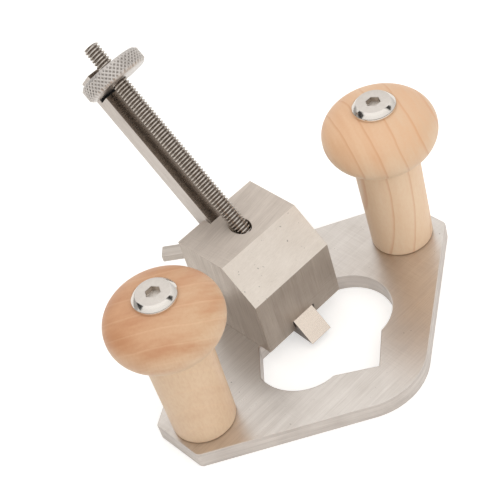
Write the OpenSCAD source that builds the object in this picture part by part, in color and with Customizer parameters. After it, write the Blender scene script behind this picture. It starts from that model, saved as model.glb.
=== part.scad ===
// Router plane: a flat sole plate with an open throat, a block that beds a
// straight cutter at 45 degrees, a threaded rod with a knurled wheel that
// feeds the cutter, a wing screw that locks it, and two turned wooden knobs.
// Millimetres. +Z is up, the sole is z = 0, +X runs from knob to knob and the
// nose of the plate points to -Y. The origin is on the sole, under the middle
// of the cutter block.

/* [Sole plate] */
// Width over the two short side edges
plate_w = 136; // [125:1:150]
// Thickness of the plate
plate_t = 7; // [6:0.5:9]
// Where the side edges start at the front
side_front_y = -30.2; // [-34:0.2:-28]
// Where the side edges end at the back
side_back_y = -7.8; // [-10:0.2:0]
// Angle of the front edges from the X axis
front_slope = 34.5; // [32:0.5:37]
// Angle of the back edges from the X axis
back_slope = 32.5; // [27:0.5:34]
// Radius of the nose
nose_r = 26; // [20:1:30]
// Radius of the middle of the back
back_r = 24; // [18:1:30]
// Radius of the corners at the front ends of the side edges
front_corner_r = 2.5; // [1:0.5:8]
// Radius of the corners at the back ends of the side edges
back_corner_r = 2; // [1:0.5:6]

/* [Throat] */
// Radius of each lobe of the throat
lobe_r = 17.6; // [15:0.2:18]
// Distance from the middle plane to the centre of a lobe
lobe_x = 12.4; // [11:0.2:14]
// How far a lobe's centre lies behind the nose end of the side edges
lobe_y = 2.1; // [1:0.1:4]
// How far the block overhangs the straight back wall of the throat
overhang = 5.4; // [4:0.2:7]
// Depth of the sighting notch in front of the lobes
notch_depth = 10.7; // [8:0.1:12]
// Half width of the sighting notch where it meets the lobes
notch_half_w = 13; // [11:0.2:14]
// Angle from the X axis of the straight stretch that ends the left lobe
left_flat_angle = 48; // [40:1:56]
// Distance of that stretch from the lobe's centre
left_flat_reach = 15.4; // [15:0.1:18]

/* [Cutter block] */
// Width of the block along X
block_w = 38; // [36:0.5:42]
// Depth of the block along Y
block_d = 37.5; // [36:0.5:40]
// Height of the block above the plate
block_h = 38.3; // [36:0.1:40]
// Size of the 45 degree chamfer along the front of the top
block_chamfer = 13.4; // [12:0.1:14]

/* [Cutter] */
// Width of the cutter bar
cutter_w = 10; // [9:0.1:10.4]
// Thickness of the cutter bar
cutter_t = 9.8; // [9:0.1:10.2]
// Clearance between the bar and each wall of its channel
channel_gap = 0.5; // [0.3:0.05:0.6]
// Distance from the rod's axis to the front of the cutter bar
cutter_offset = 7.9; // [7.4:0.1:8.4]
// Height of the cutting edge above the sole as it is set
edge_z = 3.1; // [1:0.1:5]
// Angle by which the ground underside rises behind the cutting edge
bevel_clearance = 6; // [4:0.5:8]
// How far the bar reaches past the underside of the wheel
bar_above_wheel = 9.5; // [9:0.1:12]
// Depth of the wheel's slot in the front of the bar
wheel_slot_depth = 6.3; // [6:0.1:6.8]
// Clearance under the wheel in its slot
wheel_gap_below = 0.95; // [0.5:0.05:1.2]
// Clearance over the wheel in its slot
wheel_gap_above = 0.3; // [0.25:0.05:0.4]

/* [Feed screw] */
// Major diameter of the rod
rod_d = 6.25; // [6:0.05:6.5]
// Length of the rod above the block, along its axis
rod_out_l = 85; // [82:0.5:94]
// Length of the rod inside the block
rod_in_l = 14; // [12:0.5:16]
// Where the rod's axis crosses the top of the block, behind its middle
rod_y = 4.7; // [4.2:0.1:5.2]
// Radial clearance of the mouth of the rod's hole
rod_mouth_gap = 0.55; // [0.4:0.05:0.7]
// Depth of that mouth along the axis
rod_mouth_depth = 6; // [5:0.5:7]
// Radial clearance of the wheel on the rod
wheel_clearance = 0.06; // [0.04:0.01:0.08]
// Diameter of the wheel
wheel_d = 25.8; // [24:0.1:26.4]
// Thickness of the wheel
wheel_t = 6.5; // [6:0.1:7]
// Chamfer on the wheel's edges
wheel_chamfer = 1.1; // [0.5:0.1:1.4]
// Distance from the top of the block to the wheel, along the rod
wheel_at = 68.5; // [60:0.5:72]

/* [Lock screw] */
// Major diameter of the lock screw
lock_d = 8; // [6:0.5:8]
// Height of its axis above the sole
lock_z = 23.4; // [22:0.1:25]
// Radial clearance of the lock screw in the block
lock_clearance = 0.06; // [0.04:0.01:0.08]
// Clearance between the screw's round tip and the cutter bar
lock_tip_gap = 0.06; // [0.04:0.01:0.1]
// Gap between the screw's hub and the back of the block
hub_gap = 1.4; // [0.8:0.1:2]
// Diameter of the hub
hub_d = 12; // [11:0.5:13]
// Length of the hub
hub_l = 7.5; // [6:0.5:9]
// Reach of each wing from the middle of the hub
wing_reach = 28; // [24:0.2:30]
// Width of a wing
wing_w = 5.7; // [5:0.1:6.5]
// Thickness of a wing
wing_t = 3.2; // [2.5:0.1:4]

/* [Knobs] */
// Distance from the plate's side edge to each knob's axis
knob_inset = 13.6; // [13:0.2:16]
// How far the knobs' axes lie behind the front face of the block
knob_y = -0.8; // [-3:0.1:3]
// Height of a knob's widest ring above the plate
knob_belly_z = 54; // [50:0.5:56]
// Radius of that ring
knob_r = 21.4; // [20:0.1:23]
// Height of the dome above the ring, before its top is cut off for the bolt
dome_h = 12; // [11:0.1:15]
// Fullness of the dome's curve, 2 for an ellipse and more for a flatter top
dome_power = 2.3; // [2:0.1:2.6]
// Depth of the rounded underside below the ring
under_h = 13.5; // [12:0.1:15]
// Radius of the stem at the plate
stem_foot_r = 12; // [11:0.1:12.5]
// Radius of the stem below the head
stem_neck_r = 12.5; // [11.5:0.1:13]
// Length along the stem, and along the head, of the hollow curve that joins them
neck_flare = 3; // [1:0.5:5]
// Radius of the foot's rounded edge
foot_round = 0.8; // [0.4:0.1:1.2]

/* [Knob bolts] */
// Diameter of the bolt's shank
bolt_d = 6; // [5.5:0.5:6.5]
// Depth of plate left under the bolt's end
bolt_end_skin = 1; // [0.5:0.1:2]
// Radial clearance of the bolt in the wood
bolt_hole_gap = 0.25; // [0.15:0.05:0.4]
// Diameter of the bolt's head
head_d = 16.2; // [15:0.2:17]
// Diameter of the flat top of the head
head_flat_d = 12.4; // [11:0.2:13]
// Thickness of the whole head
head_t = 3; // [2.4:0.1:3.4]
// Thickness of the head's thin upright rim
head_rim_t = 1.3; // [0.8:0.1:1.6]
// Width across the flats of the hexagon socket
socket_af = 4.75; // [4:0.05:5]
// Depth of the socket
socket_depth = 2.2; // [1.8:0.1:2.5]

/* [Block screws] */
// Diameter of the two screws that hold the block
block_screw_d = 5; // [4:0.5:6]
// Length of the screws
block_screw_l = 20; // [16:1:24]
// Diameter of their countersunk heads
block_screw_head_d = 9.6; // [8:0.2:10]
// Distance of each screw from the middle plane
block_screw_x = 12.5; // [11:0.5:13]
// Distance of the screws behind the middle of the block
block_screw_y = 6; // [3:0.5:9]
// Radial clearance of the screws in the plate
block_screw_gap = 0.1; // [0.05:0.05:0.3]

/* [Hidden] */
$fn = 96;
bed = 45;
eps = 0.01;
// A corner's circle stands this much proud of the edges it rounds, so that it
// crosses them in clear points.
arc_proud = 0.02;
// A cut runs this much past the face that it opens
past = 1;
far = 60;
knob_x = plate_w / 2 - knob_inset;
front_y = -block_d / 2;
back_wall_y = front_y + overhang;
block_top = plate_t + block_h;
throat_y = side_front_y + lobe_y;
nose_apex_y = side_front_y - plate_w / 2 * tan(front_slope);
back_apex_y = side_back_y + plate_w / 2 * tan(back_slope);
knob_axis_y = front_y + knob_y;

// Along the bed: s is measured up the rod from the top of the block, and
// depth back from the rod's axis, at right angles to it.
cutter_back = cutter_offset + cutter_t;
slot_low = wheel_at - wheel_gap_below;
slot_high = wheel_at + wheel_t + wheel_gap_above;
bar_top = wheel_at + bar_above_wheel;
edge_s = (edge_z - block_top + cutter_offset * cos(bed)) / sin(bed);

// Lock screw: the ball end stands clear of the bar's sloping back.
bar_back_at_lock = rod_y + (lock_z - block_top) + cutter_back / cos(bed);
ball_y = bar_back_at_lock + (lock_d / 2 + lock_tip_gap) / cos(bed);
hub_y = block_d / 2 + hub_gap;

// Knob head and bolt
seat_a = acos(pow(head_d / 2 / knob_r, dome_power / 2));
seat_z = plate_t + dome_point(seat_a)[1];
bolt_thread_in_plate = plate_t - bolt_end_skin;

function unit(v) = v / norm(v);
function pick(list, i) = list[(i + len(list)) % len(list)];

// Half the turn that the outline makes at corner i
function half_turn(p, i) =
    let (a = unit(pick(p, i) - pick(p, i - 1)), b = unit(pick(p, i + 1) - pick(p, i)))
    acos(min(1, a * b)) / 2;

// Distance from corner i to where its arc meets the straight edges
function cut_back(p, r, i) = r[i] * tan(half_turn(p, i));

function arc_start(p, r, i) = p[i] + unit(pick(p, i - 1) - p[i]) * cut_back(p, r, i);
function arc_end(p, r, i) = p[i] + unit(pick(p, i + 1) - p[i]) * cut_back(p, r, i);
function arc_centre(p, r, i) =
    p[i] + unit(unit(pick(p, i - 1) - p[i]) + unit(pick(p, i + 1) - p[i])) * r[i] / cos(half_turn(p, i));

// Convex outline with a true arc at every corner
module rounded_outline(p, r) {
    polygon([for (i = [0 : len(p) - 1]) each [arc_start(p, r, i), arc_end(p, r, i)]]);
    for (i = [0 : len(p) - 1]) translate(arc_centre(p, r, i)) circle(r[i] + arc_proud);
}

// Places children on the feed screw's axis, with +Z up the rod and +Y to
// its back, at distance s from the top of the block.
module on_bed(s = 0) {
    translate([0, rod_y, block_top]) rotate([-bed, 0, 0]) translate([0, 0, s]) children();
}

module mirrored_pair() {
    children();
    mirror([1, 0, 0]) children();
}

module plate_outline() {
    half = plate_w / 2;
    rounded_outline(
        [[half, side_front_y], [half, side_back_y], [0, back_apex_y],
         [-half, side_back_y], [-half, side_front_y], [0, nose_apex_y]],
        [front_corner_r, back_corner_r, back_r, back_corner_r, front_corner_r, nose_r]);
}

// Two lobes cut off by a straight back wall, with a pointed sighting notch.
// The left lobe ends in a short straight stretch towards the back wall.
module throat_outline() {
    difference() {
        union() {
            for (side = [-1, 1]) translate([side * lobe_x, throat_y]) circle(lobe_r);
            translate([-lobe_x, throat_y - lobe_r]) square([2 * lobe_x, 2 * lobe_r]);
        }
        translate([-plate_w / 2, back_wall_y]) square([plate_w, plate_w]);
        translate([-lobe_x, throat_y]) rotate(left_flat_angle)
            translate([-far, left_flat_reach]) square([2 * far, far]);
    }
    notch_run = 1.3;
    translate([0, throat_y - lobe_r - notch_depth]) scale(notch_run)
        polygon([[0, 0], [notch_half_w, notch_depth], [-notch_half_w, notch_depth]]);
}

// Straight channel for the cutter bar, open behind the block
module channel() {
    on_bed(-far)
        translate([-cutter_w / 2 - channel_gap, cutter_offset - channel_gap, -far])
            cube([cutter_w + 2 * channel_gap, cutter_t + 2 * channel_gap, 3 * far]);
}

module countersunk(d, head, length, gap = 0) {
    cylinder(d = d + 2 * gap, h = length + gap);
    translate([0, 0, -eps]) cylinder(d1 = head + 2 * gap, d2 = d + 2 * gap, h = (head - d) / 2 + eps);
}

module block_screw_places() {
    mirrored_pair() translate([block_screw_x, block_screw_y, 0]) children();
}

module knob_place() {
    translate([knob_x, knob_axis_y, plate_t]) children();
}

module sole_plate() {
    color("gainsboro") difference() {
        linear_extrude(plate_t) plate_outline();
        translate([0, 0, -past]) linear_extrude(plate_t + 2 * past) throat_outline();
        channel();
        block_screw_places() countersunk(block_screw_d, block_screw_head_d, plate_t + past, block_screw_gap);
        mirrored_pair() knob_place() translate([0, 0, -bolt_thread_in_plate])
            cylinder(d = bolt_d, h = far);
    }
}

module cutter_block() {
    color("silver") difference() {
        translate([-block_w / 2, 0, 0]) rotate([90, 0, 90]) linear_extrude(block_w)
            polygon([[front_y, plate_t], [front_y + block_d, plate_t], [front_y + block_d, block_top],
                     [front_y + block_chamfer, block_top], [front_y, block_top - block_chamfer]]);
        channel();
        on_bed(-rod_in_l) cylinder(d = rod_d, h = far);
        on_bed(-rod_mouth_depth) cylinder(r = rod_d / 2 + rod_mouth_gap, h = far);
        translate([0, ball_y - lock_d, lock_z]) rotate([-90, 0, 0])
            cylinder(r = lock_d / 2 + lock_clearance, h = far);
        block_screw_places() cylinder(d = block_screw_d, h = block_screw_l + past);
    }
}

module block_screws() {
    color("darkgray") block_screw_places() countersunk(block_screw_d, block_screw_head_d, block_screw_l);
}

// Square bar, ground level under its cutting edge, with a slot for the wheel
module cutter() {
    color("lightgray") difference() {
        on_bed() translate([-cutter_w / 2, cutter_offset, edge_s])
            cube([cutter_w, cutter_t, bar_top - edge_s]);
        on_bed() translate([-cutter_w, cutter_offset - past, slot_low])
            cube([2 * cutter_w, wheel_slot_depth + past, slot_high - slot_low]);
        on_bed(edge_s) translate([-cutter_w, cutter_offset, 0]) rotate([bed + bevel_clearance, 0, 0])
            translate([0, -far, -far]) cube([2 * cutter_w, 2 * far, far]);
    }
}

module feed_rod() {
    color("darkgray") on_bed(-rod_in_l) cylinder(d = rod_d, h = rod_in_l + rod_out_l);
}

module feed_wheel() {
    r = wheel_d / 2;
    bore = rod_d / 2 + wheel_clearance;
    color("silver") on_bed(wheel_at) rotate_extrude()
        polygon([[bore, 0], [r - wheel_chamfer, 0], [r, wheel_chamfer], [r, wheel_t - wheel_chamfer],
                 [r - wheel_chamfer, wheel_t], [bore, wheel_t]]);
}

module wing() {
    translate([0, 0, hub_l / 2]) rotate([0, bed, 0]) translate([0, -wing_t / 2, -wing_w / 2])
        cube([wing_reach, wing_t, wing_w]);
}

module lock_screw() {
    color("silver") translate([0, 0, lock_z]) rotate([-90, 0, 0]) {
        translate([0, 0, ball_y]) sphere(lock_d / 2);
        translate([0, 0, ball_y]) cylinder(d = lock_d, h = hub_y - ball_y + past);
        translate([0, 0, hub_y]) cylinder(d = hub_d, h = hub_l);
        translate([0, 0, hub_y]) rotate([0, -90, 0]) wing();
        translate([0, 0, hub_y]) rotate([0, -90, 0]) mirror([0, 0, 1]) wing();
    }
}

function dome_point(a) =
    [knob_r * pow(cos(a), 2 / dome_power), knob_belly_z + dome_h * pow(sin(a), 2 / dome_power)];
function under_point(a) = [knob_r * cos(a), knob_belly_z - under_h * sin(a)];

// Point at share t of a curve that leaves a towards b and reaches c from b
function bend_point(a, b, c, t) = a * pow(1 - t, 2) + b * 2 * t * (1 - t) + c * pow(t, 2);

// Turned knob: rounded foot, straight stem, hollow neck, rounded underside and
// shallow dome
module knob() {
    neck_a = acos(stem_neck_r / knob_r);
    neck = under_point(neck_a);
    flare_a = neck_a - neck_flare / norm([knob_r * sin(neck_a), under_h * cos(neck_a)]) * 180 / PI;
    flare_low = neck - unit(neck - [stem_foot_r, foot_round]) * neck_flare;
    hole = bolt_d / 2 + bolt_hole_gap;
    rotate_extrude() polygon(concat(
        [[hole, 0], [stem_foot_r - foot_round, 0], [stem_foot_r, foot_round]],
        [for (i = [0 : 4]) bend_point(flare_low, neck, under_point(flare_a), i / 5)],
        [for (i = [9 : -1 : 0]) under_point(flare_a * i / 9)],
        [for (i = [1 : 14]) dome_point(seat_a * i / 14)],
        [[hole, seat_z - plate_t]]));
}

module right_knob() {
    color("burlywood") knob_place() knob();
}

module left_knob() {
    color("tan") mirror([1, 0, 0]) knob_place() knob();
}

module knob_bolt() {
    top = seat_z - plate_t;
    difference() {
        union() {
            translate([0, 0, -bolt_thread_in_plate]) cylinder(d = bolt_d, h = top + bolt_thread_in_plate + past);
            translate([0, 0, top]) cylinder(d = head_d, h = head_rim_t);
            translate([0, 0, top + head_rim_t])
                cylinder(d1 = head_d, d2 = head_flat_d, h = head_t - head_rim_t);
        }
        translate([0, 0, top + head_t - socket_depth])
            cylinder(d = socket_af / cos(30), h = socket_depth + past, $fn = 6);
    }
}

module right_knob_bolt() {
    color("whitesmoke") knob_place() knob_bolt();
}

module left_knob_bolt() {
    color("whitesmoke") mirror([1, 0, 0]) knob_place() knob_bolt();
}

sole_plate();
cutter_block();
block_screws();
cutter();
feed_rod();
feed_wheel();
lock_screw();
left_knob();
right_knob();
left_knob_bolt();
right_knob_bolt();
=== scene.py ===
# Router plane with two turned maple knobs. Each section below dresses one piece of
# the tool, in the order in which the tool is put together. Lengths are in metres,
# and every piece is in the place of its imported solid.
import math

import bmesh
import bpy
from mathutils import Matrix, Vector


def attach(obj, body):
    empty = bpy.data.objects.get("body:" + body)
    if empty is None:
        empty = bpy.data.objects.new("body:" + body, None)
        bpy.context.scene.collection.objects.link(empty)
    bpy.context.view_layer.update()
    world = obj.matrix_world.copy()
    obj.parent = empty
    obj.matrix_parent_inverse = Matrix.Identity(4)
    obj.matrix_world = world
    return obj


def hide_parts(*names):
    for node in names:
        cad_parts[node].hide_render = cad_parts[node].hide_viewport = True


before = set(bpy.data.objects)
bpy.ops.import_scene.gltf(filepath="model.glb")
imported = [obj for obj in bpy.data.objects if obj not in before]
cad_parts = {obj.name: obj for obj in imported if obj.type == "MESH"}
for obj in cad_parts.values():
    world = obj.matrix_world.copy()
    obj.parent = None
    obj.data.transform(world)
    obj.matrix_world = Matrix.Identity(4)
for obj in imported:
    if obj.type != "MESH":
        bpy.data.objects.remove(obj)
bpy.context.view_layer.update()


# View, floor and light
# A long lens looks down on the tool from its front left, over a plain pale floor. One
# broad soft lamp hangs above and in front, and the steel mirrors the pale room round it.
LENS_MM = 103.26
VIEW_TARGET = Vector((0.00156, 0.00592, 0.030))
VIEW_DISTANCE = 0.5392
VIEW_HEADING = math.radians(31.18)
VIEW_ELEVATION = math.radians(44.16)
VIEW_ROLL = math.radians(-18.47)
VIEW_NEAR = 0.01
VIEW_FAR = 50
LAMP = {"place": Vector((0.40, -0.86, 0.74)), "aim": Vector((0, 0, 0.03)), "width": 1.0, "height": 1.1,
        "power": 3.2}
ROOM = {"colour": (1.0, 0.988, 0.972, 1), "at_walls": 0.70, "overhead": 1.12, "brightest_from": 0.75}
# Dark gaps between the screens round the tool, which the polished bevels mirror. Their
# headings are degrees from +X towards +Y, and low and high are shares of the way up.
DARK_GAPS = ({"heading": 140, "half_width": 18, "low": 0.28, "high": 0.62, "depth": 0.95},
             {"heading": 118, "half_width": 26, "low": -0.2, "high": 0.28, "depth": 0.45},
             {"heading": 122, "half_width": 22, "low": 0.62, "high": 0.8, "depth": 0.5},
             {"heading": -40, "half_width": 11, "low": 0.4, "high": 0.86, "depth": 0.95})
GAP_EDGE = 0.03
FLOOR = {"reach": 4.0, "height": -0.0001, "colour": (0.72, 0.71, 0.69, 1), "glow": 0.5, "in_steel": 0.6}
WHITE = (1, 1, 1, 1)


def placed(name, data):
    """Puts a mesh, lamp or camera into the scene, at the origin."""
    thing = bpy.data.objects.new(name, data)
    bpy.context.scene.collection.objects.link(thing)
    return thing


def place_camera():
    """The camera, turned about its line of sight by the roll."""
    level = math.cos(VIEW_ELEVATION)
    forward = Vector((math.sin(VIEW_HEADING) * level, math.cos(VIEW_HEADING) * level,
                      -math.sin(VIEW_ELEVATION)))
    turn = forward.to_track_quat("-Z", "Y").to_matrix() @ Matrix.Rotation(VIEW_ROLL, 3, "Z")
    camera = placed("camera", bpy.data.cameras.new("camera"))
    camera.data.lens = LENS_MM
    camera.data.clip_start = VIEW_NEAR
    camera.data.clip_end = VIEW_FAR
    camera.matrix_world = Matrix.Translation(VIEW_TARGET - forward * VIEW_DISTANCE) @ turn.to_4x4()
    bpy.context.scene.camera = camera


def hang_lamp():
    """The soft lamp. The steel doesn't mirror it, so no bright square shows there."""
    lamp = placed("front_light", bpy.data.lights.new("front_light", "AREA"))
    lamp.data.shape = "RECTANGLE"
    lamp.data.size = LAMP["width"]
    lamp.data.size_y = LAMP["height"]
    lamp.data.energy = LAMP["power"]
    lamp.location = LAMP["place"]
    lamp.rotation_euler = (LAMP["aim"] - LAMP["place"]).to_track_quat("-Z", "Y").to_euler()
    lamp.visible_glossy = False


def bare_tree(data):
    """The node tree of a material or a world, with nothing in it."""
    data.use_nodes = True
    data.node_tree.nodes.clear()
    return data.node_tree


def node_of(tree, kind, **settings):
    """A new node of a tree, with its settings made."""
    node = tree.nodes.new(kind)
    for setting, value in settings.items():
        setattr(node, setting, value)
    return node


def reckon(tree, operation, a, b=None):
    """One math node, fed with sockets or plain numbers. Gives its output socket."""
    node = node_of(tree, "ShaderNodeMath", operation=operation)
    for socket, value in zip(node.inputs, (a, b)):
        if isinstance(value, (int, float)):
            socket.default_value = value
        elif value is not None:
            tree.links.new(value, socket)
    return node.outputs[0]


def spread(tree, value, between, onto=(0, 1)):
    """Maps a value from one range onto another, held at the ends."""
    node = node_of(tree, "ShaderNodeMapRange")
    tree.links.new(value, node.inputs["Value"])
    for label, number in zip(("From Min", "From Max", "To Min", "To Max"), (*between, *onto)):
        node.inputs[label].default_value = number
    return node.outputs["Result"]


def band(tree, value, low, high, soft):
    """1 where a value lies from low to high, falling softly to 0 outside."""
    half = (high - low) / 2
    away = reckon(tree, "ABSOLUTE", reckon(tree, "SUBTRACT", value, (low + high) / 2))
    return spread(tree, away, (half - soft, half + soft), (1, 0))


def gap_share(tree, heading, rise, gap):
    """The share of the room's light that one dark gap takes away."""
    across = band(tree, heading, math.radians(gap["heading"] - gap["half_width"]),
                  math.radians(gap["heading"] + gap["half_width"]), GAP_EDGE)
    upwards = band(tree, rise, gap["low"], gap["high"], GAP_EDGE)
    return reckon(tree, "MULTIPLY", reckon(tree, "MULTIPLY", across, upwards), gap["depth"])


def ended(tree, kind, share, usual, other):
    """Ends a tree: the usual shader, and the other one for a share of the rays."""
    choice = node_of(tree, "ShaderNodeMixShader")
    out = node_of(tree, kind)
    for socket, source in zip(choice.inputs, (share, usual.outputs[0], other.outputs[0])):
        tree.links.new(source, socket)
    tree.links.new(choice.outputs[0], out.inputs["Surface"])


def light_room():
    """A pale room, brighter overhead than at the walls, that the camera sees as white."""
    world = bpy.data.worlds.new("studio")
    bpy.context.scene.world = world
    tree = bare_tree(world)
    rays = node_of(tree, "ShaderNodeLightPath")
    way = node_of(tree, "ShaderNodeSeparateXYZ")
    tree.links.new(node_of(tree, "ShaderNodeTexCoord").outputs["Generated"], way.inputs[0])
    x, y, rise = way.outputs
    heading = reckon(tree, "ARCTAN2", y, x)
    level = spread(tree, rise, (0.0, ROOM["brightest_from"]), (ROOM["at_walls"], ROOM["overhead"]))
    for gap in DARK_GAPS:
        kept = reckon(tree, "SUBTRACT", 1, gap_share(tree, heading, rise, gap))
        level = reckon(tree, "MULTIPLY", level, kept)
    room = node_of(tree, "ShaderNodeBackground")
    room.inputs["Color"].default_value = ROOM["colour"]
    tree.links.new(level, room.inputs["Strength"])
    white = node_of(tree, "ShaderNodeBackground")
    white.inputs["Color"].default_value = WHITE
    ended(tree, "ShaderNodeOutputWorld", rays.outputs["Is Camera Ray"], room, white)


def lay_floor():
    """White paper that takes the tool's shadow, white to the camera and pale in the steel."""
    far, height = FLOOR["reach"], FLOOR["height"]
    mesh = bpy.data.meshes.new("floor")
    mesh.from_pydata([(-far, -far, height), (far, -far, height), (far, far, height), (-far, far, height)],
                     [], [(0, 1, 2, 3)])
    paper = bpy.data.materials.new("white_paper")
    tree = bare_tree(paper)
    rays = node_of(tree, "ShaderNodeLightPath")
    matt = node_of(tree, "ShaderNodeBsdfDiffuse")
    matt.inputs["Color"].default_value = FLOOR["colour"]
    glow = node_of(tree, "ShaderNodeEmission")
    glow.inputs["Color"].default_value = WHITE
    glow.inputs["Strength"].default_value = FLOOR["glow"]
    paler = node_of(tree, "ShaderNodeAddShader")
    tree.links.new(matt.outputs[0], paler.inputs[0])
    tree.links.new(glow.outputs[0], paler.inputs[1])
    in_steel = reckon(tree, "MULTIPLY", rays.outputs["Is Glossy Ray"], FLOOR["in_steel"])
    share = reckon(tree, "MAXIMUM", rays.outputs["Is Camera Ray"], in_steel)
    ended(tree, "ShaderNodeOutputMaterial", share, matt, paler)
    mesh.materials.append(paper)
    placed("floor", mesh)


place_camera()
light_room()
lay_floor()
hang_lamp()
bpy.context.scene.view_settings.view_transform = "Standard"


# Sole plate
# A flat plate of stainless steel with an open throat, brushed from end to end, its
# walls brushed along their length and every edge eased by a hair with a fine file.
SAME_POINT = 2e-6
SAME_FACE = math.radians(0.4)
SHARP_EDGE = math.radians(25)
# Highlights spread across the brush lines, a quarter turn from the map's U
ACROSS_LINES = 0.25
# Shares of fine lines and of all lines in a brushed steel's pattern, counts per metre
# of its clouds and crossing patches, and the depth of its lines
BRUSHED = {"fine": 0.65, "lines": 0.72, "clouds": 70, "patches": 38, "deep": 0.00002}
# The levels of noise between which lines, clouds and crossing patches set in
SET_IN = {"lines": (0.32, 0.68), "clouds": (0.3, 0.7), "patches": (0.46, 0.6)}
PITS = {"count": 700, "from": 0.80, "soft": 0.04, "strength": 0.5, "colour": (92, 80, 70)}


def sharp_shading(mesh, degrees):
    """Smooth shading, broken at edges that turn by more than the degrees."""
    mesh.polygons.foreach_set("use_smooth", [True] * len(mesh.polygons))
    mesh.set_sharp_from_angle(angle=math.radians(degrees))


def eased_copy(node, name, ease):
    """The solid of a node as a clean mesh, with all its sharp edges eased."""
    shape = bmesh.new()
    shape.from_mesh(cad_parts[node].data)
    bmesh.ops.remove_doubles(shape, verts=shape.verts, dist=SAME_POINT)
    bmesh.ops.dissolve_limit(shape, angle_limit=SAME_FACE, verts=shape.verts, edges=shape.edges)
    sharp = [e for e in shape.edges if e.is_manifold and e.calc_face_angle() > SHARP_EDGE]
    bmesh.ops.bevel(shape, geom=sharp, offset=ease, offset_type="OFFSET", segments=2, profile=0.5,
                    affect="EDGES", clamp_overlap=True)
    mesh = bpy.data.meshes.new(name)
    shape.to_mesh(mesh)
    shape.free()
    sharp_shading(mesh, degrees=20)
    return placed(name, mesh)


def lay_brush_lines(mesh, along):
    """Gives each face a UV map whose U runs along its brush lines, in metres."""
    lines = mesh.uv_layers.new(name="brush")
    for face in mesh.polygons:
        run = along(face.normal)
        run = (run - face.normal * run.dot(face.normal)).normalized()
        over = face.normal.cross(run)
        for corner in face.loop_indices:
            co = mesh.vertices[mesh.loops[corner].vertex_index].co
            lines.data[corner].uv = (co.dot(run), co.dot(over))


def srgb(red, green, blue):
    """A colour for a shader, from levels of 0 to 255."""
    def linear(level):
        level /= 255
        return level / 12.92 if level <= 0.04045 else ((level + 0.055) / 1.055) ** 2.4
    return (linear(red), linear(green), linear(blue), 1)


def blended(tree, share, first, second):
    """Mixes two colours by a share. Each of the three is a socket or plain."""
    node = node_of(tree, "ShaderNodeMix", data_type="RGBA")
    for socket, value in zip((node.inputs[0], node.inputs[6], node.inputs[7]), (share, first, second)):
        if isinstance(value, (int, float, tuple)):
            socket.default_value = value
        else:
            tree.links.new(value, socket)
    return node.outputs[2]


def weighed(tree, share, first, second):
    """The first value by its share, a socket or a number, and the second by the rest."""
    rest = 1 - share if isinstance(share, float) else reckon(tree, "SUBTRACT", 1, share)
    parts = [reckon(tree, "MULTIPLY", *pair) for pair in ((first, share), (second, rest))]
    return reckon(tree, "ADD", *parts)


def noise(tree, vector, scale, detail, roughness, shift=(0, 0, 0)):
    """Soft noise, with one scale or, where it is stretched, with one for each axis."""
    if isinstance(scale, tuple):
        stretch = node_of(tree, "ShaderNodeMapping")
        stretch.inputs["Location"].default_value = shift
        stretch.inputs["Scale"].default_value = scale
        tree.links.new(vector, stretch.inputs["Vector"])
        vector, scale = stretch.outputs["Vector"], 1
    node = node_of(tree, "ShaderNodeTexNoise")
    node.inputs["Scale"].default_value = scale
    node.inputs["Detail"].default_value = detail
    node.inputs["Roughness"].default_value = roughness
    tree.links.new(vector, node.inputs["Vector"])
    return node.outputs["Fac"]


def new_finish(name):
    """A material with its node tree and its shader."""
    finish = bpy.data.materials.new(name)
    finish.use_nodes = True
    return finish, finish.node_tree, finish.node_tree.nodes["Principled BSDF"]


def give_relief(tree, shader, height, strength, deep):
    """Lets a pattern stand up from the surface, by at most deep."""
    bump = node_of(tree, "ShaderNodeBump")
    bump.inputs["Strength"].default_value = strength
    bump.inputs["Distance"].default_value = deep
    tree.links.new(height, bump.inputs["Height"])
    tree.links.new(bump.outputs["Normal"], shader.inputs["Normal"])


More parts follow.
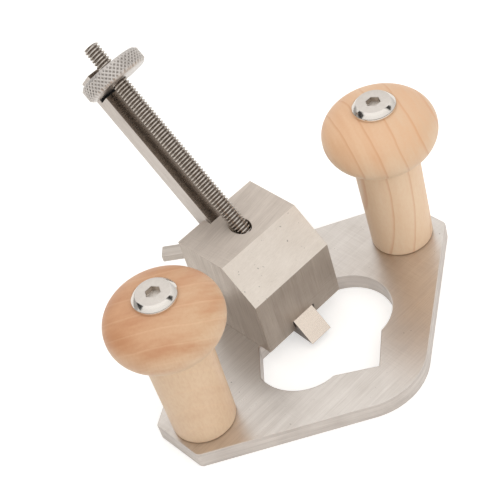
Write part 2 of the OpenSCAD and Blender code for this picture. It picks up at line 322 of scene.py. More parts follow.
def metal(name, light, dark, rough, relief=0.5, along=90, across=1900, crossing=0.0, specks=0.0,
          anisotropy=0.4, hollow=None):
    """Steel with brush lines that run along the U of the piece's brush map.

    light and dark are its colours and rough is its range of roughness. along and
    across count the lines per metre. crossing says how much of a patch's lines run
    the other way, specks how many tiny pits there are, and hollow is a colour of
    painted shade deep in its grooves."""
    finish, tree, shader = new_finish(name)
    shader.inputs["Metallic"].default_value = 1
    shader.inputs["Anisotropic"].default_value = anisotropy
    shader.inputs["Anisotropic Rotation"].default_value = ACROSS_LINES
    tangent = node_of(tree, "ShaderNodeTangent", direction_type="UV_MAP", uv_map="brush")
    tree.links.new(tangent.outputs[0], shader.inputs["Tangent"])
    brush = node_of(tree, "ShaderNodeUVMap", uv_map="brush").outputs["UV"]
    place = node_of(tree, "ShaderNodeTexCoord").outputs["Object"]
    fine = noise(tree, brush, (along, across, 1), detail=4, roughness=0.75)
    broad = noise(tree, brush, (along / 4, across / 5, 1), detail=2, roughness=0.5, shift=(3.1, 7.7, 0))
    straight = weighed(tree, BRUSHED["fine"], fine, broad)
    lines = straight
    if crossing:
        other = noise(tree, brush, (across * 0.8, along, 1), detail=4, roughness=0.75, shift=(1.3, 2.9, 0))
        patch = noise(tree, place, BRUSHED["patches"], detail=2, roughness=0.5)
        lines = weighed(tree, spread(tree, patch, SET_IN["patches"], (0, crossing)), other, straight)
    cloud = noise(tree, place, BRUSHED["clouds"], detail=3, roughness=0.55)
    level = weighed(tree, BRUSHED["lines"], spread(tree, lines, SET_IN["lines"]),
                    spread(tree, cloud, SET_IN["clouds"]))
    colour = blended(tree, level, srgb(*light), srgb(*dark))
    if specks:
        start = PITS["from"] - specks
        dots = noise(tree, place, PITS["count"], detail=1, roughness=0.4)
        pits = spread(tree, dots, (start, start + PITS["soft"]), (0, PITS["strength"]))
        colour = blended(tree, pits, colour, srgb(*PITS["colour"]))
    # Painted shade: the grooves and pits that the thread and knurl trees note as hollow are darkened towards
    # the hollow colour
    if hollow:
        depth = node_of(tree, "ShaderNodeAttribute", attribute_name="hollow").outputs["Fac"]
        colour = blended(tree, depth, colour, srgb(*hollow))
    tree.links.new(colour, shader.inputs["Base Color"])
    tree.links.new(spread(tree, level, (0, 1), rough), shader.inputs["Roughness"])
    give_relief(tree, shader, straight, relief, BRUSHED["deep"])
    return finish


def dressed(piece, node, slot, body, *finishes):
    """Puts the finishes on a piece that stands for a CAD node and rides on a body."""
    for finish in finishes:
        piece.data.materials.append(finish)
    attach(piece, body)
    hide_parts(node)


def finished_by(piece, choose):
    """Gives each face of a piece the finish whose number choose(face) returns."""
    for face in piece.data.polygons:
        face.material_index = choose(face)


def plate_lines(normal):
    """From end to end on the flats, and level along the walls."""
    return Vector((1, 0, 0)) if abs(normal.z) > 0.5 else normal.cross(Vector((0, 0, 1)))


plate = eased_copy("sole_plate", "sole_plate_steel", ease=0.0003)
lay_brush_lines(plate.data, plate_lines)
dressed(plate, "sole_plate", "brushed_steel", "base",
        metal("plate_steel", (230, 224, 218), (197, 189, 182), rough=(0.25, 0.37), along=60, across=2400,
              crossing=0.45, specks=0.04, anisotropy=0.6),
        metal("plate_wall_steel", (230, 223, 217), (180, 171, 165), rough=(0.3, 0.42), relief=0.6,
              along=50, across=2400, anisotropy=0.7))
finished_by(plate, lambda face: 0 if abs(face.normal.z) > 0.5 else 1)


# Cutter block
# A cube of the same steel with its top front edge cut back at 45 degrees, bored for
# the feed rod and the lock screw, and cut through by the sloping cutter channel.
def block_lines(normal):
    """Upright on the sides, and nearly level across the top and the slope."""
    return Vector((0, 0, 1)) if abs(normal.z) < 0.5 else Vector((1, 0.12, 0))


def block_face(face):
    """0 for the milled top, 1 for the ground slope with painted light, 2 for the sides and 3 for the front,
    both with painted shade.
    """
    if face.normal.z > 0.9:
        return 0
    if face.normal.z > 0.5 and face.normal.y < -0.5:
        return 1
    return 3 if face.normal.y < -0.9 else 2


block = eased_copy("cutter_block", "cutter_block_steel", ease=0.00025)
lay_brush_lines(block.data, block_lines)
dressed(block, "cutter_block", "brushed_steel", "base",
        metal("block_top_steel", (229, 220, 211), (202, 192, 183), rough=(0.6, 0.72), relief=0.8,
              crossing=0.5, anisotropy=0.2),
        # Painted light: the slope is a brighter copy of the block's steel
        metal("block_slope_painted_light_steel", (246, 237, 227), (228, 218, 207), rough=(0.4, 0.52), relief=0.6,
              along=500, across=2400, crossing=0.5, specks=0.06, anisotropy=0.2),
        # Painted shade: the sides and front are darker copies of the block's steel
        metal("block_side_painted_shade_steel", (204, 193, 182), (160, 147, 136), rough=(0.24, 0.36), relief=0.6,
              along=60, across=2400, anisotropy=0.5),
        metal("block_front_painted_shade_steel", (192, 181, 171), (162, 150, 139), rough=(0.42, 0.56), along=80,
              across=2400, crossing=0.5, anisotropy=0.2))
finished_by(block, block_face)


# Block screws
# Two countersunk socket screws of machined steel, driven up through the sole into
# the block and flush with the sole, so that they show only from below.
BLOCK_SCREW = {"x": 0.0125, "y": 0.006, "radius": 0.0025, "head_radius": 0.0048, "length": 0.020,
               "socket_flats": 0.003, "socket_depth": 0.0016, "ease": 0.0001, "lead": 0.0005}
# The length that the wall of a bore takes up on the brush map
BORE_LINES = 0.001


def turned(name, profile, facets, hollow=False, soften=30):
    """A mesh turned round the Z axis from (radius, height) pairs, bottom to top.

    A hollow one also has the wall of its bore, from the last pair to the first.
    Its brush map follows the turning marks, which run round the axis."""
    points, faces, marks = [], [], []
    rows, climb = [], [0.0]
    for (r0, z0), (r1, z1) in zip(profile, profile[1:]):
        climb.append(climb[-1] + math.hypot(r1 - r0, z1 - z0))
    widest = max(radius for radius, _ in profile)
    for radius, height in profile:
        count = facets if radius > 0 else 1
        rows.append([len(points) + i for i in range(count)])
        for i in range(count):
            angle = 2 * math.pi * i / facets
            points.append((radius * math.cos(angle), radius * math.sin(angle), height))
    for k in range(len(rows) if hollow else len(rows) - 1):
        low, high = rows[k], rows[(k + 1) % len(rows)]
        v0 = climb[k]
        v1 = climb[k + 1] if k + 1 < len(rows) else v0 + BORE_LINES
        for i in range(facets):
            loop = [(low[i % len(low)], i, v0), (low[(i + 1) % len(low)], i + 1, v0),
                    (high[(i + 1) % len(high)], i + 1, v1), (high[i % len(high)], i, v1)]
            kept = [c for n, c in enumerate(loop) if c[0] not in [d[0] for d in loop[:n]]]
            if len(kept) > 2:
                faces.append([point for point, _, _ in kept])
                marks += [(2 * math.pi * widest * step / facets, v) for _, step, v in kept]
    mesh = bpy.data.meshes.new(name)
    mesh.from_pydata(points, [], faces)
    lines = mesh.uv_layers.new(name="brush")
    for corner, mark in enumerate(marks):
        lines.data[corner].uv = mark
    sharp_shading(mesh, soften)
    return placed(name, mesh)


def settled(piece):
    """Turns what a piece's modifiers make of it into its plain mesh."""
    bpy.context.view_layer.update()
    shape = bpy.data.meshes.new_from_object(piece.evaluated_get(bpy.context.evaluated_depsgraph_get()))
    piece.modifiers.clear()
    piece.data = shape


def cut_socket(piece, flats, top, depth, ease=0.0002):
    """Sinks a hexagon socket with an eased mouth into a piece, from height top by depth.

    A depth below 0 sinks it upwards, into an underside."""
    corner, out = flats / 2 / math.cos(math.pi / 6), math.copysign(1, depth)
    above = 5 * ease
    outline = [(0, top - depth), (corner, top - depth), (corner, top - ease * out),
               (corner + ease + above, top + above * out), (0, top + above * out)]
    tool = turned(piece.name + "_socket", outline if depth > 0 else outline[::-1], 6)
    cut = piece.modifiers.new("socket", "BOOLEAN")
    cut.operation = "DIFFERENCE"
    cut.solver = "EXACT"
    cut.object = tool
    settled(piece)
    bpy.data.objects.remove(tool)
    sharp_shading(piece.data, degrees=30)


def joined(name, pieces):
    """Several meshes as one piece, each still a closed shell of its own."""
    whole = bmesh.new()
    for part in pieces:
        whole.from_mesh(part.data)
    mesh = bpy.data.meshes.new(name)
    whole.to_mesh(mesh)
    whole.free()
    for part in pieces:
        bpy.data.objects.remove(part)
    sharp_shading(mesh, degrees=30)
    return placed(name, mesh)


def block_screw(side):
    """From the flat of its head at the sole, over the cone and up the shank."""
    s = BLOCK_SCREW
    painted_groove_shade = s["head_radius"] - s["radius"]
    profile = [(0, 0), (s["head_radius"] - s["ease"], 0), (s["head_radius"], s["ease"]), (s["radius"], painted_groove_shade),
               (s["radius"], s["length"] - s["lead"]), (s["radius"] - s["lead"], s["length"]),
               (0, s["length"])]
    screw = turned("block_screw", profile, facets=48)
    cut_socket(screw, s["socket_flats"], 0, -s["socket_depth"])
    screw.data.transform(Matrix.Translation((side * s["x"], s["y"], 0)))
    return screw


screws = joined("block_screws_steel", [block_screw(-1), block_screw(1)])
dressed(screws, "block_screws", "machined_steel", "base",
        metal("machined_steel", (214, 210, 204), (150, 144, 136), rough=(0.2, 0.36), along=60,
              across=5000))


# Cutter
# A square bar of tool steel, ground bright, slotted near its top for the wheel and
# ground flat under its tip for the cutting edge. It slides in the block's channel.
# The most of a tip's painted light and shade that shows
TIP_PAINT_SHARE = 0.85
# The frame of the feed starts where the rod leaves the block's top, and its Z is the rod
BED = Matrix.Translation((0, 0.0047, 0.0453)) @ Matrix.Rotation(math.radians(-45), 4, "X")
# The wheel's slot in that frame, with a little to spare, whose walls get painted shade
SLOT = {"middle": 0.0714, "half": 0.0042, "floor": 0.015}


def cutter_lines(normal):
    """Across the bar on its front and back, and along it on its sides."""
    return Vector((1, 0, 0)) if abs(normal.x) < 0.5 else Vector((0, 1, 1))


def cutter_face(face):
    """0 for ground faces, 1 for the lapped face towards the rod, darker as painted shade, and 2 for painted
    shade inside the slot.
    """
    centre = BED.inverted() @ face.center
    near = abs(centre.z - SLOT["middle"]) < SLOT["half"] and centre.y < SLOT["floor"]
    if near and abs(face.normal.x) < 0.5:
        return 2
    return 1 if face.normal.y < -0.5 and face.normal.z > 0.5 else 0


def height_of(tree, place):
    """The Z of a place."""
    split = node_of(tree, "ShaderNodeSeparateXYZ")
    tree.links.new(place, split.inputs[0])
    return split.outputs[2]


def paint_tip_shading(finish, low, high, colour):
    """Paints light and shade into a steel towards the tip: the given colour, full below low and none above
    high.
    """
    tree = finish.node_tree
    bare = tree.nodes["Principled BSDF"].inputs["Base Color"]
    height = height_of(tree, node_of(tree, "ShaderNodeTexCoord").outputs["Object"])
    share = spread(tree, height, (low, high), (TIP_PAINT_SHARE, 0))
    tree.links.new(blended(tree, share, bare.links[0].from_socket, srgb(*colour)), bare)


cutter = eased_copy("cutter", "cutter_steel", ease=0.00012)
lay_brush_lines(cutter.data, cutter_lines)
# Painted shade: the slot's walls are a dull, nearly black, non-metal steel that stands in for the shade
# under the wheel
slot_painted_shade = metal("slot_painted_shade", (52, 52, 50), (36, 36, 36), rough=(0.6, 0.7), relief=0.2)
slot_painted_shade.node_tree.nodes["Principled BSDF"].inputs["Metallic"].default_value = 0
ground_steel = metal("ground_tool_steel_painted_tip_shade", (214, 206, 199), (180, 171, 164), rough=(0.26, 0.38), relief=0.4,
                     along=200, across=2600, specks=0.05)
# Painted shade: the ground sides darken towards the tip, where they leave the block
paint_tip_shading(ground_steel, low=0.007, high=0.012, colour=(104, 94, 88))
# Painted shade: the lapped face is a darker copy of the bar's ground steel
lapped_painted_shade_steel = metal("lapped_painted_shade_tool_steel", (178, 167, 157), (156, 145, 135), rough=(0.22, 0.3), relief=0.1,
                     along=200, across=1200, specks=0.05)
# Painted highlight: the lapped face lightens towards the tip
paint_tip_shading(lapped_painted_shade_steel, low=0.012, high=0.016, colour=(243, 229, 215))
dressed(cutter, "cutter", "ground_steel", "cutter", ground_steel, lapped_painted_shade_steel, slot_painted_shade)
finished_by(cutter, cutter_face)


# Feed rod
# A length of studding, threaded from end to end, 20 turns to the inch, screwed into
# the block at the angle of the bed.
ROD = {"radius": 0.003125, "inside": 0.014, "outside": 0.085, "pitch": 0.00127, "depth": 0.00074,
       "ease": 0.0004}
# Where a flank of the thread starts and ends, as shares of the way from crest to root
FLANK = (0.34, 0.9)
# The share of a piece's radius past which a point is in its skin, and the least radius
SKIN = 0.995
ON_AXIS = 1e-6


def tree_of(name, *inputs):
    """An empty Geometry Nodes tree with a mesh in and out and the named inputs."""
    tree = bpy.data.node_groups.new(name, "GeometryNodeTree")
    tree.interface.new_socket("Mesh", in_out="INPUT", socket_type="NodeSocketGeometry")
    for label in inputs:
        tree.interface.new_socket(label, in_out="INPUT", socket_type="NodeSocketFloat")
    tree.interface.new_socket("Finish", in_out="INPUT", socket_type="NodeSocketMaterial")
    tree.interface.new_socket("Mesh", in_out="OUTPUT", socket_type="NodeSocketGeometry")
    return tree, node_of(tree, "NodeGroupInput"), node_of(tree, "NodeGroupOutput")


def round_place(tree):
    """A point's x, y, z, its distance from the axis, and its turns round it."""
    place = node_of(tree, "GeometryNodeInputPosition")
    split = node_of(tree, "ShaderNodeSeparateXYZ")
    tree.links.new(place.outputs[0], split.inputs[0])
    x, y, z = split.outputs
    squares = reckon(tree, "ADD", reckon(tree, "MULTIPLY", x, x), reckon(tree, "MULTIPLY", y, y))
    radius = reckon(tree, "MAXIMUM", reckon(tree, "SQRT", squares), ON_AXIS)
    turns = reckon(tree, "DIVIDE", reckon(tree, "ARCTAN2", y, x), 2 * math.pi)
    return x, y, z, radius, turns


def zigzag(tree, phase):
    """1 at whole numbers of the phase and 0 half way between them."""
    doubled = reckon(tree, "MULTIPLY", reckon(tree, "FRACT", phase), 2)
    return reckon(tree, "ABSOLUTE", reckon(tree, "SUBTRACT", doubled, 1))


def carved(tree, given, out, spot, groove):
    """Ends a tree: nothing reaches past Radius less Depth times groove, which it notes as hollow, the share
    of painted shade in the grooves.
    """
    x, y, z, radius, _ = spot
    cut = reckon(tree, "MULTIPLY", groove, given.outputs["Depth"])
    reach = reckon(tree, "SUBTRACT", given.outputs["Radius"], cut)
    share = reckon(tree, "DIVIDE", reckon(tree, "MINIMUM", radius, reach), radius)
    moved = node_of(tree, "ShaderNodeCombineXYZ")
    tree.links.new(reckon(tree, "MULTIPLY", x, share), moved.inputs[0])
    tree.links.new(reckon(tree, "MULTIPLY", y, share), moved.inputs[1])
    tree.links.new(z, moved.inputs[2])
    skin = reckon(tree, "MULTIPLY", given.outputs["Radius"], SKIN)
    painted_groove_shade = reckon(tree, "MULTIPLY", groove, reckon(tree, "GREATER_THAN", radius, skin))
    note = node_of(tree, "GeometryNodeStoreNamedAttribute", data_type="FLOAT", domain="POINT")
    note.inputs["Name"].default_value = "hollow"
    shape = node_of(tree, "GeometryNodeSetPosition")
    real = node_of(tree, "GeometryNodeRealizeInstances")
    finish = node_of(tree, "GeometryNodeSetMaterial")
    tree.links.new(given.outputs["Mesh"], note.inputs["Geometry"])
    tree.links.new(painted_groove_shade, note.inputs["Value"])
    tree.links.new(note.outputs[0], shape.inputs["Geometry"])
    tree.links.new(moved.outputs[0], shape.inputs["Position"])
    tree.links.new(shape.outputs[0], real.inputs[0])
    tree.links.new(real.outputs[0], finish.inputs["Geometry"])
    tree.links.new(given.outputs["Finish"], finish.inputs["Material"])
    tree.links.new(finish.outputs[0], out.inputs[0])


def thread_tree():
    """Cuts a right-hand thread into a turned bar, with narrow crests and roots."""
    tree, given, out = tree_of("thread", "Pitch", "Depth", "Radius")
    spot = round_place(tree)
    _, _, z, _, turns = spot
    rise = reckon(tree, "SUBTRACT", reckon(tree, "DIVIDE", z, given.outputs["Pitch"]), turns)
    carved(tree, given, out, spot, spread(tree, zigzag(tree, rise), FLANK))
    return tree


def worked(piece, tree, **inputs):
    """Runs a Geometry Nodes tree on a piece and keeps the plain mesh it makes."""
    step = piece.modifiers.new(tree.name, "NODES")
    step.node_group = tree
    for item in tree.interface.items_tree:
        if item.in_out == "INPUT" and item.name in inputs:
            step[item.identifier] = inputs[item.name]
    settled(piece)


def threaded_rows(radius, low, high, pitch, ease, rows_per_turn=16):
    """The profile of a bar between two heights, fine enough to carry a thread."""
    count = round((high - low - 2 * ease) / pitch * rows_per_turn)
    step = (high - low - 2 * ease) / count
    return ([(radius - ease, low)] + [(radius, low + ease + step * i) for i in range(count + 1)]
            + [(radius - ease, high)])


thread = thread_tree()
rod = turned("feed_rod_steel", [(0, -ROD["inside"])]
             + threaded_rows(ROD["radius"], -ROD["inside"], ROD["outside"], ROD["pitch"], ROD["ease"])
             + [(0, ROD["outside"])], facets=40)
worked(rod, thread, Pitch=ROD["pitch"], Depth=ROD["depth"], Radius=ROD["radius"],
       # Painted shade darkens the thread's grooves
       Finish=metal("studding_steel_groove_shaded", (214, 207, 200), (172, 163, 154), rough=(0.2, 0.3), relief=0.3,
                    along=60, across=5000, hollow=(146, 136, 127)))
sharp_shading(rod.data, degrees=50)
rod.data.transform(BED)
dressed(rod, "feed_rod", "machined_steel", "base")


# Feed wheel
# A turned steel wheel with a diamond knurl on its rim and a bevel on each edge. It
# is threaded on the rod and turns in the cutter's slot.
WHEEL = {"at": 0.0685, "radius": 0.0129, "thick": 0.0065, "bevel": 0.0011, "bore": 0.003185,
         "diamonds": 43, "knurl": 0.00034, "ease": 0.0001}
FACETS_PER_DIAMOND = 12
RIM_ROWS = 30
# Where a side of a pit ends and starts, as shares of the way from its floor to a ridge
PIT_SIDE = (0.15, 0.85)


def knurl_tree():
    """Raises two crossing sets of ridges on the rim of a turned wheel, with pits between."""
    tree, given, out = tree_of("knurl", "Diamonds", "Depth", "Radius")
    spot = round_place(tree)
    _, _, z, _, turns = spot
    count = reckon(tree, "MULTIPLY", turns, given.outputs["Diamonds"])
    girth = reckon(tree, "MULTIPLY", given.outputs["Radius"], 2 * math.pi)
    rise = reckon(tree, "DIVIDE", reckon(tree, "MULTIPLY", z, given.outputs["Diamonds"]), girth)
    pits = [spread(tree, zigzag(tree, reckon(tree, operation, count, rise)), PIT_SIDE, (1, 0))
            for operation in ("ADD", "SUBTRACT")]
    carved(tree, given, out, spot, reckon(tree, "MINIMUM", *pits))
    return tree


def wheel_profile():
    """From the bore across one face, over the bevels and the rim, and back to the bore."""
    w = WHEEL
    face, ease = w["radius"] - w["bevel"], w["ease"]
    low, high = w["bevel"], w["thick"] - w["bevel"]
    rim = [(w["radius"], low + (high - low) * i / RIM_ROWS) for i in range(RIM_ROWS + 1)]
    return ([(w["bore"], 0), (face - ease, 0), (face, ease / 2)] + rim
            + [(face, w["thick"] - ease / 2), (face - ease, w["thick"]), (w["bore"], w["thick"])])


wheel = turned("feed_wheel_steel", wheel_profile(), WHEEL["diamonds"] * FACETS_PER_DIAMOND, hollow=True)
worked(wheel, knurl_tree(), Diamonds=WHEEL["diamonds"], Depth=WHEEL["knurl"], Radius=WHEEL["radius"],
       # Painted shade darkens the knurl's pits
       Finish=metal("wheel_steel", (226, 221, 217), (192, 185, 179), rough=(0.24, 0.38), relief=0.4,
                    along=60, across=4200, hollow=(132, 125, 119)))
sharp_shading(wheel.data, degrees=45)
wheel.data.transform(BED @ Matrix.Translation((0, 0, WHEEL["at"])))
dressed(wheel, "feed_wheel", "machined_steel", "wheel")


# Lock screw
# A thumb screw at the back of the block: a threaded shank with a round tip, a plain
# hub, and two bars welded to it as wings. Its tip presses the cutter in its channel.
LOCK = {"height": 0.0234, "radius": 0.004, "ball": 0.01357, "hub": 0.02015, "hub_radius": 0.006,
        "hub_length": 0.0075, "pitch": 0.00125, "depth": 0.0007, "wing_reach": 0.028,
        "wing_width": 0.0057, "wing_thick": 0.0032, "wing_lean": 45, "ease": 0.0005, "lap": 0.0005}
LOCK_AXIS = Matrix.Translation((0, 0, LOCK["height"])) @ Matrix.Rotation(math.radians(-90), 4, "X")


def wing_bar(side):
    """A bar that leans back from the hub, on one side of it."""
    shape = bmesh.new()
    bmesh.ops.create_cube(shape, size=1)
    size = (LOCK["wing_reach"], LOCK["wing_width"], LOCK["wing_thick"])
    bmesh.ops.scale(shape, verts=shape.verts, vec=size)
    start = LOCK["hub_length"] / 2 * math.sqrt(2)
    bmesh.ops.translate(shape, verts=shape.verts, vec=(size[0] / 2 - start, 0, 0))
    bmesh.ops.bevel(shape, geom=shape.edges[:], offset=LOCK["ease"], segments=3, profile=0.5,
                    affect="EDGES")
    middle = LOCK["hub"] + LOCK["hub_length"] / 2
    turn = LOCK["wing_lean"] if side > 0 else 180 - LOCK["wing_lean"]
    lean = Matrix.Rotation(math.radians(turn), 4, "Z")
    bmesh.ops.transform(shape, verts=shape.verts,
                        matrix=Matrix.Translation((0, middle, LOCK["height"])) @ lean)
    mesh = bpy.data.meshes.new("wing")
    shape.to_mesh(mesh)
    shape.free()
    lay_brush_lines(mesh, lambda normal: Vector((side, 1, 0)))
    return placed("wing", mesh)


def lock_shank(finish):
    """The threaded shank, from its round tip into the hub by its lap."""
    s, low, high = LOCK, LOCK["ball"], LOCK["hub"] + LOCK["lap"]
    tip = [(s["radius"] * math.sin(math.radians(a)), low - s["radius"] * math.cos(math.radians(a)))
           for a in range(0, 90, 10)]
    shank = threaded_rows(s["radius"], low, high, s["pitch"], ease=1e-5)
    screw = turned("lock_shank", tip + shank + [(0, high)], facets=48)
    worked(screw, thread, Pitch=s["pitch"], Depth=s["depth"], Radius=s["radius"], Finish=finish)
    screw.data.transform(LOCK_AXIS)
    return screw


def lock_hub():
    """The plain hub, with an eased edge at both ends."""
    low, high = LOCK["hub"], LOCK["hub"] + LOCK["hub_length"]
    wide, ease = LOCK["hub_radius"], LOCK["ease"]
    hub = turned("lock_hub", [(0, low), (wide - ease, low), (wide, low + ease), (wide, high - ease),
                              (wide - ease, high), (0, high)], facets=64)
    hub.data.transform(LOCK_AXIS)
    return hub


wing_steel = metal("wing_steel", (216, 208, 200), (172, 162, 152), rough=(0.26, 0.42), relief=0.4,
                   across=3000)
lock = joined("lock_screw_steel", [lock_shank(wing_steel), lock_hub(), wing_bar(-1), wing_bar(1)])
dressed(lock, "lock_screw", "machined_steel", "lock", wing_steel)


# Knobs
# Two knobs of maple, turned on a lathe with a shallow dome, a rounded underside and
# a straight stem, then lacquered to a satin finish. Each stands on the plate.
KNOB = {"x": 0.0544, "y": -0.01955, "plate": 0.007, "foot": 0.012, "neck": 0.0125, "flare": 0.003,
        "belly": 0.054, "radius": 0.0214, "dome": 0.012, "under": 0.0135, "power": 2.3,
        "foot_round": 0.0008, "bore": 0.00325, "seat_radius": 0.0081}
STEM_ROWS, NECK_ROWS, UNDER_ROWS, DOME_ROWS = 12, 8, 24, 26
LACQUER = {"coat": 0.1, "coat_roughness": 0.32, "roughness": (0.36, 0.5), "relief": 0.1, "deep": 0.00005}
# The way in which the end grain goes from blush to pale, partly the wood's colour and
# partly painted light and shade from left to right across the knob, the heights between
# which it takes over from the long grain, and where in a ring its edge starts and is strongest
ACROSS = (0.72, -0.69, 0)
END_GRAIN = (0.059, 0.070)
RING_EDGE = (0.86, 0.965)
# How far past the middle each colour of the end grain is reached, how far the rings
# wander, in rings, and how far clouds shift the start of the end grain
SHADED_SIDES = (-0.02, 0.02)
WANDER = 0.6
RAGGED = 0.006
# Counts per metre along x, y and z of the rings' wandering, the flecks and the fibres,
# and of the clouds across the head and up the knob
GRAIN = {"drift": (30, 30, 12), "flecks": (1100, 1100, 500), "fibres": (2600, 2600, 120),
         "clouds_across": 45, "clouds_up": 30}
# The most of the darker wood that clouds, flecks and fibres show, and the share of the
# clouds' that is left in the stem
VEINS = {"clouds": 0.6, "flecks": 0.16, "fibres": 0.08, "in_stem": 0.25}
# blush and pale hold painted light and shade besides the wood's colour: the left knob's left is painted
# darker, the right knob's left lighter
MAPLE = {
    "left": {"name": "pink_maple", "stem": (230, 201, 169), "blush": (213, 157, 115),
             "pale": (209, 176, 142), "vein": (190, 128, 87), "line": (234, 198, 162),
             "pith": (-0.1234, -0.105, -0.042), "middle": -0.0257, "ring": 0.0058, "strength": 0.22},
    "right": {"name": "pale_maple", "stem": (234, 206, 175), "blush": (240, 198, 159),
              "pale": (211, 182, 152), "vein": (220, 168, 126), "line": (204, 140, 92),
              "pith": (-0.056, 0.028, 0.04), "middle": 0.0527, "ring": 0.008, "strength": 0.45}}


def knob_profile():
    """From the bore at the foot up the stem and its hollow neck, and over the head."""
    k = KNOB
    foot = [(k["foot"] - k["foot_round"] * (1 - math.sin(math.radians(a))),
             k["foot_round"] * (1 - math.cos(math.radians(a)))) for a in (0, 30, 60, 90)]
    neck_angle = math.acos(k["neck"] / k["radius"])

    def under(angle):
        return Vector((k["radius"] * math.cos(angle), k["belly"] - k["under"] * math.sin(angle)))
    neck = under(neck_angle)
    flare_angle = neck_angle - k["flare"] / math.hypot(k["radius"] * math.sin(neck_angle),
                                                       k["under"] * math.cos(neck_angle))
    flare_end = under(flare_angle)
    stem_top = neck - (neck - Vector(foot[-1])).normalized() * k["flare"]
    stem = [Vector(foot[-1]).lerp(stem_top, i / STEM_ROWS) for i in range(1, STEM_ROWS)]
    hollow = [stem_top.lerp(neck, i / NECK_ROWS).lerp(neck.lerp(flare_end, i / NECK_ROWS), i / NECK_ROWS)
              for i in range(NECK_ROWS)]
    head = [under(flare_angle * i / UNDER_ROWS) for i in range(UNDER_ROWS, -1, -1)]
    seat = math.acos((k["seat_radius"] / k["radius"]) ** (k["power"] / 2))
    angles = [seat * i / DOME_ROWS for i in range(1, DOME_ROWS + 1)]
    dome = [(k["radius"] * math.cos(angle) ** (2 / k["power"]),
             k["belly"] + k["dome"] * math.sin(angle) ** (2 / k["power"])) for angle in angles]
    return ([(k["bore"], 0)] + foot + [tuple(point) for point in stem + hollow + head] + dome
            + [(k["bore"], dome[-1][1])])


def maple(name, stem, blush, pale, vein, line, pith, middle, ring, strength):
    """Lacquered maple. Its growth rings lie round a distant pith.

    stem is the long grain's colour. The end grain of the dome goes from blush at
    the knob's left to pale at its right, past middle, partly the wood's colour and
    partly painted light and shade, and vein is the darker wood in it. ring is a
    ring's width, line the colour of its edge and strength its share."""
    wood, tree, shader = new_finish(name)
    shader.inputs["Coat Weight"].default_value = LACQUER["coat"]
    shader.inputs["Coat Roughness"].default_value = LACQUER["coat_roughness"]
    place = node_of(tree, "ShaderNodeTexCoord").outputs["Object"]
    height = height_of(tree, place)
    across = node_of(tree, "ShaderNodeVectorMath", operation="DOT_PRODUCT")
    tree.links.new(place, across.inputs[0])
    across.inputs[1].default_value = ACROSS
    level = reckon(tree, "SUBTRACT", across.outputs["Value"], middle)
    reach = node_of(tree, "ShaderNodeVectorMath", operation="DISTANCE")
    tree.links.new(place, reach.inputs[0])
    reach.inputs[1].default_value = pith
    wave = noise(tree, place, GRAIN["drift"], detail=3, roughness=0.5)
    drift = reckon(tree, "MULTIPLY", wave, WANDER * ring)
    rings = reckon(tree, "DIVIDE", reckon(tree, "ADD", reach.outputs["Value"], drift), ring)
    phase = reckon(tree, "FRACT", rings)
    fading = spread(tree, phase, (RING_EDGE[1], 1), (1, 0))
    edge = reckon(tree, "MULTIPLY", spread(tree, phase, RING_EDGE), fading)
    grain = node_of(tree, "ShaderNodeCombineXYZ")
    tree.links.new(rings, grain.inputs[0])
    tree.links.new(reckon(tree, "MULTIPLY", level, GRAIN["clouds_across"]), grain.inputs[1])
    tree.links.new(reckon(tree, "MULTIPLY", height, GRAIN["clouds_up"]), grain.inputs[2])
    cloud = noise(tree, grain.outputs[0], 1.1, detail=3, roughness=0.6)
    fleck = noise(tree, place, GRAIN["flecks"], detail=2, roughness=0.5)
    fibres = noise(tree, place, GRAIN["fibres"], detail=3, roughness=0.6)
    ragged = reckon(tree, "ADD", height, reckon(tree, "MULTIPLY", cloud, RAGGED))
    head = spread(tree, ragged, END_GRAIN)
    # Painted light and shade from the knob's left to its right
    side = spread(tree, level, SHADED_SIDES)
    colour = blended(tree, head, srgb(*stem), blended(tree, side, srgb(*blush), srgb(*pale)))
    in_head = spread(tree, head, (0, 1), (VEINS["in_stem"], 1))
    clouded = reckon(tree, "MULTIPLY", in_head, spread(tree, cloud, (0.42, 0.68), (0, VEINS["clouds"])))
    flecked = spread(tree, fleck, (0.4, 0.75), (0, VEINS["flecks"]))
    fibrous = spread(tree, fibres, (0.4, 0.75), (0, VEINS["fibres"]))
    for share in (clouded, flecked, fibrous):
        colour = blended(tree, share, colour, srgb(*vein))
    colour = blended(tree, reckon(tree, "MULTIPLY", edge, strength), colour, srgb(*line))
    tree.links.new(colour, shader.inputs["Base Color"])
    tree.links.new(spread(tree, fibres, (0.3, 0.7), LACQUER["roughness"]), shader.inputs["Roughness"])
    give_relief(tree, shader, fibres, LACQUER["relief"], LACQUER["deep"])
    return wood


for side, word in ((-1, "left"), (1, "right")):
    knob = turned(word + "_knob_maple", knob_profile(), facets=128, hollow=True, soften=40)
    knob.data.transform(Matrix.Translation((side * KNOB["x"], KNOB["y"], KNOB["plate"])))
    dressed(knob, word + "_knob", word + "_maple", "base", maple(**MAPLE[word]))


# Knob bolts
# A bolt through each knob into the plate, with a broad head that has a satin flat, a
# polished bevel and a hexagon socket.
BOLT = {"radius": 0.003, "head": 0.0081, "flat": 0.0062, "thick": 0.003, "rim": 0.0013, "in_plate": 0.006,
        "socket_flats": 0.00475, "socket_depth": 0.0022, "ease": 0.0002, "lead": 0.0005}


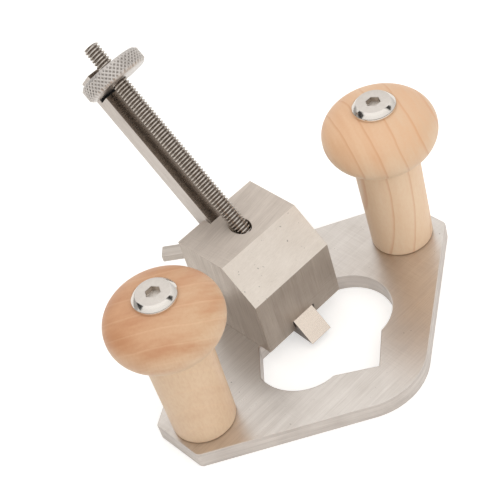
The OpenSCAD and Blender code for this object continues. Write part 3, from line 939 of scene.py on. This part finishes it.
def bolt_profile(seat):
    """From the end in the plate up the shank, out under the head at seat, and over it."""
    b, ease = BOLT, BOLT["ease"]
    low, rim, top = KNOB["plate"] - b["in_plate"], seat + b["rim"], seat + b["thick"]
    return [(0, low), (b["radius"] - b["lead"], low), (b["radius"], low + b["lead"]), (b["radius"], seat),
            (b["head"] - ease, seat), (b["head"], seat + ease), (b["head"], rim - ease),
            (b["head"] - ease / 2, rim), (b["flat"] + ease, top - ease), (b["flat"], top - ease / 4),
            (b["flat"] - ease, top), (0, top)]


def bolt_face(face, side, seat):
    """0 for polish, 1 for the flat, 2 for the socket's floor with painted light, 3 for painted shade on its
    walls and in a line at the rim's edge.
    """
    top, edge = seat + BOLT["thick"], seat + BOLT["rim"] - BOLT["ease"] / 2
    if face.center.z > top - BOLT["ease"] / 2:
        return 1
    # A thin line of painted shade where the bevel meets the rim
    if abs(face.center.z - edge) < BOLT["ease"] / 4:
        return 3
    off_axis = math.hypot(face.center.x - side * KNOB["x"], face.center.y - KNOB["y"])
    if face.center.z < seat or off_axis > BOLT["radius"] or 0.3 < face.normal.z < 0.9:
        return 0
    return 2 if face.normal.z > 0.9 else 3


bolt_steels = [
    metal("polished_plating", (236, 231, 225), (224, 218, 211), rough=(0.11, 0.16), relief=0.1, along=30,
          across=3000, anisotropy=0.0),
    metal("satin_plating", (228, 222, 216), (210, 203, 196), rough=(0.4, 0.5), relief=0.3, along=1500,
          across=1500, anisotropy=0.0),
    # Painted light on the socket's floor, painted shade on its walls and in a line round the rim's edge
    metal("socket_floor_painted_light", (254, 251, 247), (214, 204, 194), rough=(0.5, 0.6), relief=0.4, along=500,
          across=900, anisotropy=0.0),
    metal("socket_wall_and_rim_line_painted_shade", (214, 203, 191), (104, 93, 84), rough=(0.16, 0.26), relief=0.4, along=500,
          across=900, anisotropy=0.0)]
for side, word in ((-1, "left"), (1, "right")):
    seat = knob_profile()[-1][1] + KNOB["plate"]
    bolt = turned(word + "_knob_bolt_steel", bolt_profile(seat), facets=96)
    cut_socket(bolt, BOLT["socket_flats"], seat + BOLT["thick"], BOLT["socket_depth"])
    bolt.data.transform(Matrix.Translation((side * KNOB["x"], KNOB["y"], 0)))
    dressed(bolt, word + "_knob_bolt", "polished_steel", "base", *bolt_steels)
    finished_by(bolt, lambda face: bolt_face(face, side, seat))
